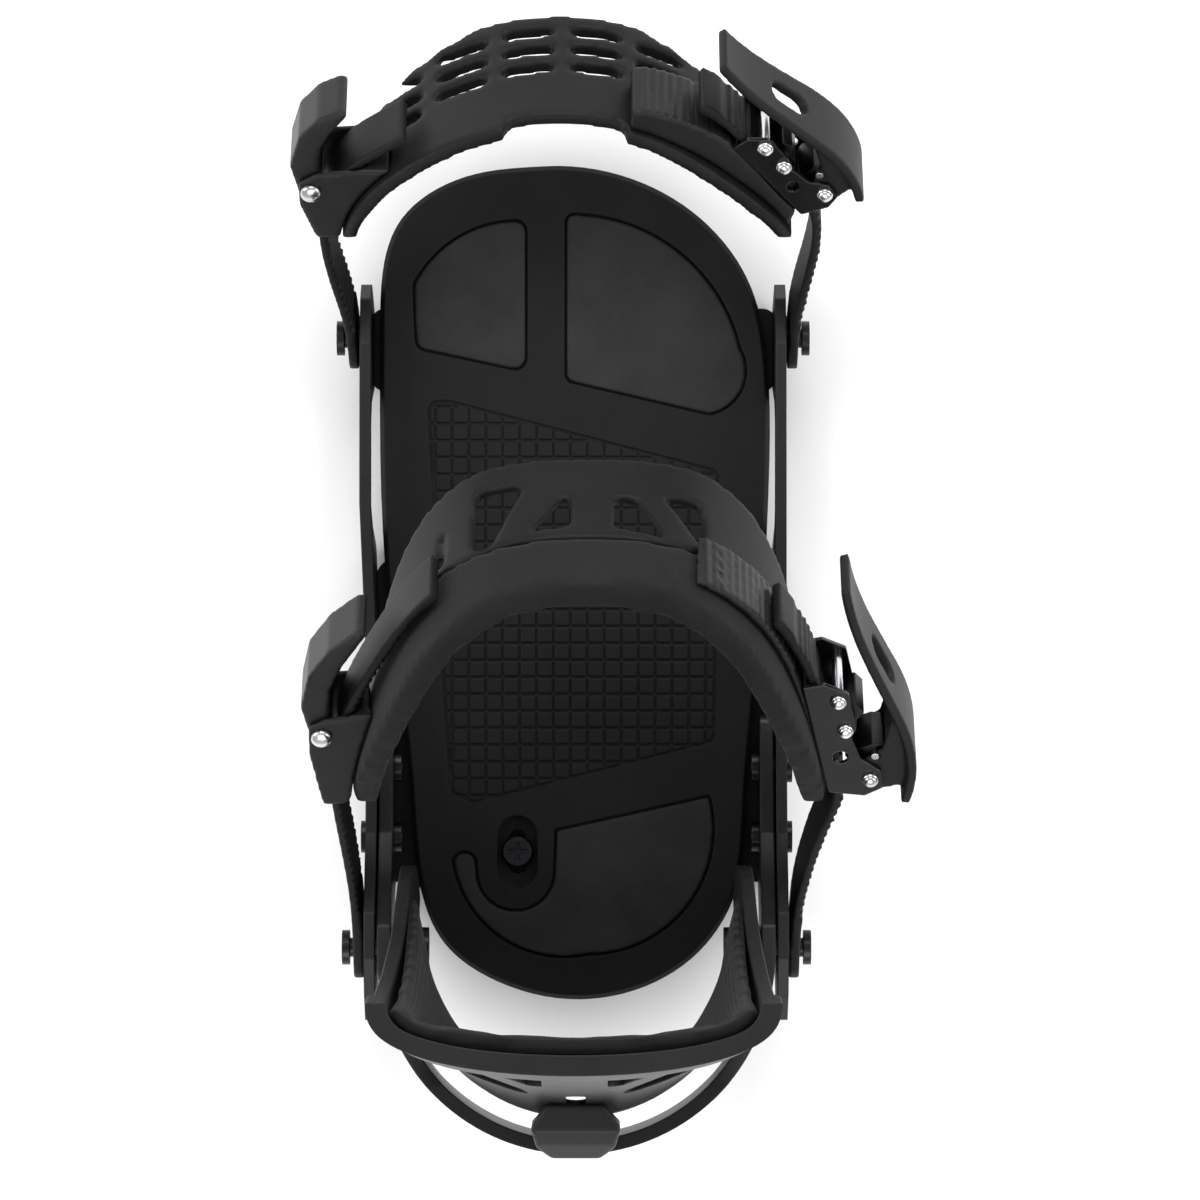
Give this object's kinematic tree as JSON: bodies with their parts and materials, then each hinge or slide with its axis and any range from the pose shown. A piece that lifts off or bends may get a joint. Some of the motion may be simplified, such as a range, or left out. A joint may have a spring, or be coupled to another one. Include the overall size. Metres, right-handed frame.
{
  "type": "snowboard binding",
  "caption": "Right-foot snowboard binding: base plate on a turning disc, footbed, heel hoop, folding highback, ankle and toe straps with ratchets.",
  "frame": {"origin": "centre of the mounting disc on the board's top surface", "axes": "+Z away from the board, +Y towards the toes, +X to the outer side of the right foot"},
  "size_m": [0.1897, 0.3487, 0.257],
  "materials": {
    "nylon_black": "moulded fibre-filled nylon, fine spark texture",
    "hoop_black": "moulded heel hoop, slightly smoother",
    "footbed_black": "soft-touch moulding",
    "pad_foam": "grippy foam rubber",
    "highback_lining": "moulded foam with woven face",
    "strap_shell": "moulded urethane",
    "strap_padding": "padded textile",
    "ladder_plastic": "flexible urethane ladder",
    "guide_plastic": "moulded nylon",
    "lever_gloss": "black anodised aluminium, glossy",
    "lever_matte": "moulded nylon",
    "pawl_steel": "blackened steel",
    "rivet_steel": "bright riveted steel",
    "screw_steel": "black zinc",
    "gasket_foam": "closed-cell foam"
  },
  "bodies": {
    "disc": {"mounting_disc": "nylon_black"},
    "base": {"base_gasket": "gasket_foam", "base_plate": "nylon_black", "heel_hoop": "hoop_black", "hoop_screws": "screw_steel", "hoop_nuts": "screw_steel", "strap_anchor_screws": "screw_steel", "strap_anchor_nuts": "screw_steel", "strap_anchor_spacers": "hoop_black", "highback_pivot_screws": "screw_steel", "highback_pivot_washers": "screw_steel", "footbed_screw": "screw_steel"},
    "footbed": {"footbed": "footbed_black", "toe_pad_inner": "pad_foam", "toe_pad_outer": "pad_foam", "heel_pad": "pad_foam"},
    "highback": {"highback_shell": "nylon_black", "highback_pad": "highback_lining"},
    "lean_adjuster": {"lean_adjuster_block": "footbed_black"},
    "ankle_strap": {"ankle_strap_shell": "strap_shell", "ankle_strap_pad": "strap_padding", "ankle_length_ladder": "ladder_plastic", "ankle_adjuster_base": "guide_plastic", "ankle_adjuster_pin": "rivet_steel", "ankle_buckle_mount": "guide_plastic", "ankle_buckle_frame": "lever_gloss", "ankle_buckle_rivets": "rivet_steel", "ankle_buckle_spring": "rivet_steel"},
    "ankle_ladder": {"ankle_ladder": "ladder_plastic"},
    "ankle_adjuster_lever": {"ankle_adjuster_lever": "lever_matte"},
    "ankle_buckle_lever": {"ankle_buckle_lever": "lever_gloss", "ankle_lever_pin": "rivet_steel"},
    "ankle_drive_pawl": {"ankle_drive_pawl": "pawl_steel"},
    "ankle_lock_pawl": {"ankle_lock_pawl": "pawl_steel"},
    "toe_strap": {"toe_strap_cap": "strap_shell", "toe_length_ladder": "ladder_plastic", "toe_adjuster_base": "guide_plastic", "toe_adjuster_pin": "rivet_steel", "toe_buckle_mount": "guide_plastic", "toe_buckle_frame": "lever_gloss", "toe_buckle_rivets": "rivet_steel", "toe_buckle_spring": "rivet_steel"},
    "toe_ladder": {"toe_ladder": "ladder_plastic"},
    "toe_adjuster_lever": {"toe_adjuster_lever": "lever_matte"},
    "toe_buckle_lever": {"toe_buckle_lever": "lever_gloss", "toe_lever_pin": "rivet_steel"},
    "toe_drive_pawl": {"toe_drive_pawl": "pawl_steel"},
    "toe_lock_pawl": {"toe_lock_pawl": "pawl_steel"}
  },
  "joints": [
    {"name": "stance_turn", "type": "hinge", "parent": "disc", "child": "base", "pos_m": [0, 0, 0], "axis": [0, 0, 1], "range_deg": [-90, 90]},
    {"name": "footbed_slide", "type": "slide", "parent": "base", "child": "footbed", "axis": [0, 1, 0], "range_m": [-0.004, 0.004]},
    {"name": "highback_fold", "type": "hinge", "parent": "base", "child": "highback", "pos_m": [0, -0.1065, 0.057], "axis": [-1, 0, 0], "range_deg": [0, 30]},
    {"name": "lean_slide", "type": "slide", "parent": "highback", "child": "lean_adjuster", "axis": [0, 0.135, 0.9908], "range_m": [0, 0.018]},
    {"name": "ankle_strap_swing", "type": "hinge", "parent": "base", "child": "ankle_strap", "pos_m": [0, -0.108, 0.0404], "axis": [-1, 0, 0], "range_deg": [-6, 12]},
    {"name": "ankle_ladder_swing", "type": "hinge", "parent": "base", "child": "ankle_ladder", "pos_m": [0, -0.108, 0.0404], "axis": [-1, 0, 0], "range_deg": [-6, 12]},
    {"name": "ankle_length_lock", "type": "hinge", "parent": "ankle_strap", "child": "ankle_adjuster_lever", "pos_m": [-0.0762, -0.03367, 0.10189], "axis": [0, -0.6374, 0.7705], "range_deg": [0, 60]},
    {"name": "ankle_buckle_crank", "type": "hinge", "parent": "ankle_strap", "child": "ankle_buckle_lever", "pos_m": [0.08884, -0.04678, 0.09105], "axis": [0, 0.6374, -0.7705], "range_deg": [0, 55]},
    {"name": "ankle_drive_click", "type": "hinge", "parent": "ankle_buckle_lever", "child": "ankle_drive_pawl", "pos_m": [0.09008, -0.04115, 0.0957], "axis": [0, -0.6374, 0.7705], "range_deg": [0, 8], "stiffness_Nm_per_rad": 0.05},
    {"name": "ankle_lock_release", "type": "hinge", "parent": "ankle_strap", "child": "ankle_lock_pawl", "pos_m": [0.08084, -0.03184, 0.1034], "axis": [0, -0.6374, 0.7705], "range_deg": [0, 12], "stiffness_Nm_per_rad": 0.05},
    {"name": "toe_strap_swing", "type": "hinge", "parent": "base", "child": "toe_strap", "pos_m": [0, 0.082, 0.026], "axis": [-1, 0, 0], "range_deg": [-12, 12]},
    {"name": "toe_ladder_swing", "type": "hinge", "parent": "base", "child": "toe_ladder", "pos_m": [0, 0.082, 0.026], "axis": [-1, 0, 0], "range_deg": [-12, 12]},
    {"name": "toe_length_lock", "type": "hinge", "parent": "toe_strap", "child": "toe_adjuster_lever", "pos_m": [-0.0807, 0.13225, 0.07486], "axis": [0, -0.6972, 0.7169], "range_deg": [0, 60]},
    {"name": "toe_buckle_crank", "type": "hinge", "parent": "toe_strap", "child": "toe_buckle_lever", "pos_m": [0.07572, 0.13147, 0.0741], "axis": [0, 0.6972, -0.7169], "range_deg": [0, 55]},
    {"name": "toe_drive_click", "type": "hinge", "parent": "toe_buckle_lever", "child": "toe_drive_pawl", "pos_m": [0.07399, 0.13553, 0.07806], "axis": [0, -0.6972, 0.7169], "range_deg": [0, 8], "stiffness_Nm_per_rad": 0.05},
    {"name": "toe_lock_release", "type": "hinge", "parent": "toe_strap", "child": "toe_lock_pawl", "pos_m": [0.06306, 0.13935, 0.08177], "axis": [0, -0.6972, 0.7169], "range_deg": [0, 12], "stiffness_Nm_per_rad": 0.05}
  ],
  "couplings": [
    {"joint": "ankle_ladder_swing", "follows": "ankle_strap_swing", "ratio": 1},
    {"joint": "toe_ladder_swing", "follows": "toe_strap_swing", "ratio": 1}
  ]
}
